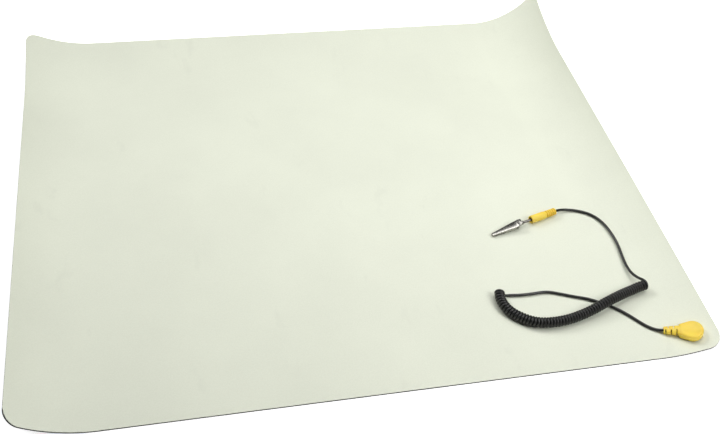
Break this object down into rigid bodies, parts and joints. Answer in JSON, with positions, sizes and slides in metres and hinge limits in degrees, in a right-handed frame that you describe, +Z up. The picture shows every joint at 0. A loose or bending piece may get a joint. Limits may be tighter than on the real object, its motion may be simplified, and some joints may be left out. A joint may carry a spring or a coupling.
{
  "type": "anti static bench mat",
  "caption": "Curled two-layer rubber bench mat with a press stud and a coiled ground cord that ends in a crocodile clip on a banana plug.",
  "frame": {"origin": "on the bench, under the middle of the mat's outline", "axes": "+X to the right along the near edge, +Y away to the far edge, +Z up from the bench"},
  "size_m": [0.595, 0.4982, 0.055],
  "materials": {
    "backing": "matt black conductive rubber",
    "top_layer": "matt pale green beige rubber with a very fine grain",
    "stud_metal": "nickel plated",
    "moulding": "satin yellow moulded plastic",
    "cord": "black satin cord jacket",
    "pin_metal": "nickel plated, dark in reflection",
    "clip_metal": "bright nickel plated sheet"
  },
  "bodies": {
    "mat": {"conductive_backing": "backing", "dissipative_top": "top_layer", "mat_stud": "stud_metal", "stud_rivet": "stud_metal", "snap_cap": "moulding", "snap_socket": "stud_metal", "lead_snap_end": "cord", "cord_coil": "cord", "lead_plug_end": "cord", "plug_boot": "moulding", "plug_pin": "pin_metal", "clip_lower_jaw": "clip_metal", "clip_pivot": "clip_metal", "clip_spring": "clip_metal"},
    "upper_jaw": {"clip_upper_jaw": "clip_metal"}
  },
  "joints": [
    {"name": "clip_jaw", "type": "hinge", "parent": "mat", "child": "upper_jaw", "pos_m": [0.163, -0.08028, 0.0057], "axis": [-0.2924, 0.9563, 0], "range_deg": [0, 12], "stiffness_Nm_per_rad": 0.05, "deforming": ["clip_spring"]}
  ]
}
